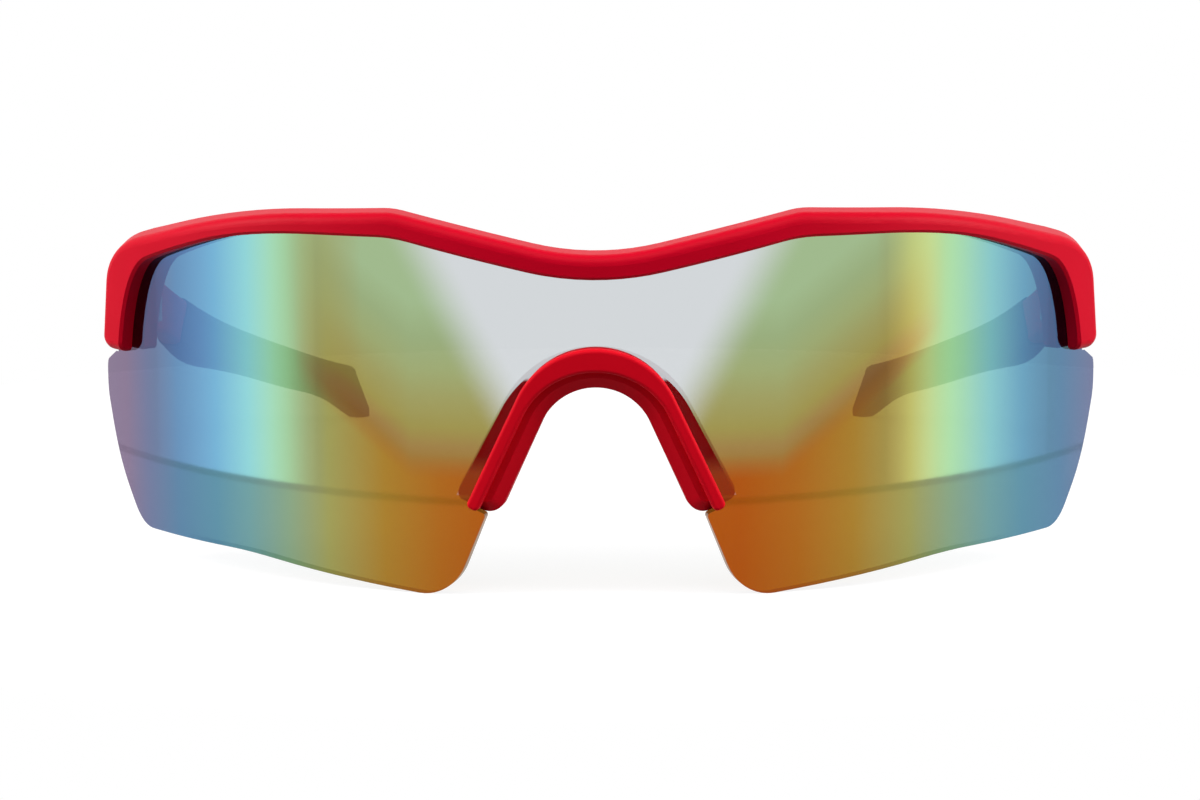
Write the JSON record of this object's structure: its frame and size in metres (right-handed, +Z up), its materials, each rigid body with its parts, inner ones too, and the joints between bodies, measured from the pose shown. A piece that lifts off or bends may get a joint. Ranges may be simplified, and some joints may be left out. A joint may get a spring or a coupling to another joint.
{
  "type": "shield sunglasses",
  "caption": "Wraparound half-rim shield sunglasses with a mirrored lens under a red brow frame, an arched nosepiece and folding arms with black rubber grips.",
  "frame": {"origin": "middle of the bottom of the open glasses' box, on the table they stand on", "axes": "the lens faces -Y, the arms run back to +Y, +Z is up and +X is the wearer's left"},
  "size_m": [0.1452, 0.1614, 0.0537],
  "materials": {
    "frame_red": "satin moulded red nylon",
    "lens_coated": "grey polycarbonate with a rainbow mirror coat",
    "nose_rubber": "satin soft red rubber",
    "grip_rubber": "matt black moulded rubber",
    "hinge_steel": "bright stamped stainless steel",
    "screw_steel": "turned stainless steel"
  },
  "bodies": {
    "front": {"brow_frame": "frame_red", "shield_lens": "lens_coated", "nosepiece": "nose_rubber", "frame_hinge_left": "hinge_steel", "frame_hinge_right": "hinge_steel", "hinge_screw_left": "screw_steel", "hinge_screw_right": "screw_steel"},
    "left_temple": {"arm_left": "frame_red", "arm_grip_left": "grip_rubber", "arm_hinge_left": "hinge_steel"},
    "right_temple": {"arm_right": "frame_red", "arm_grip_right": "grip_rubber", "arm_hinge_right": "hinge_steel"}
  },
  "joints": [
    {"name": "left_fold", "type": "hinge", "parent": "front", "child": "left_temple", "pos_m": [0.06689, -0.03244, 0.0358], "axis": [0, 0, 1], "range_deg": [0, 88]},
    {"name": "right_fold", "type": "hinge", "parent": "front", "child": "right_temple", "pos_m": [-0.06689, -0.03244, 0.0358], "axis": [0, 0, -1], "range_deg": [0, 79]}
  ]
}
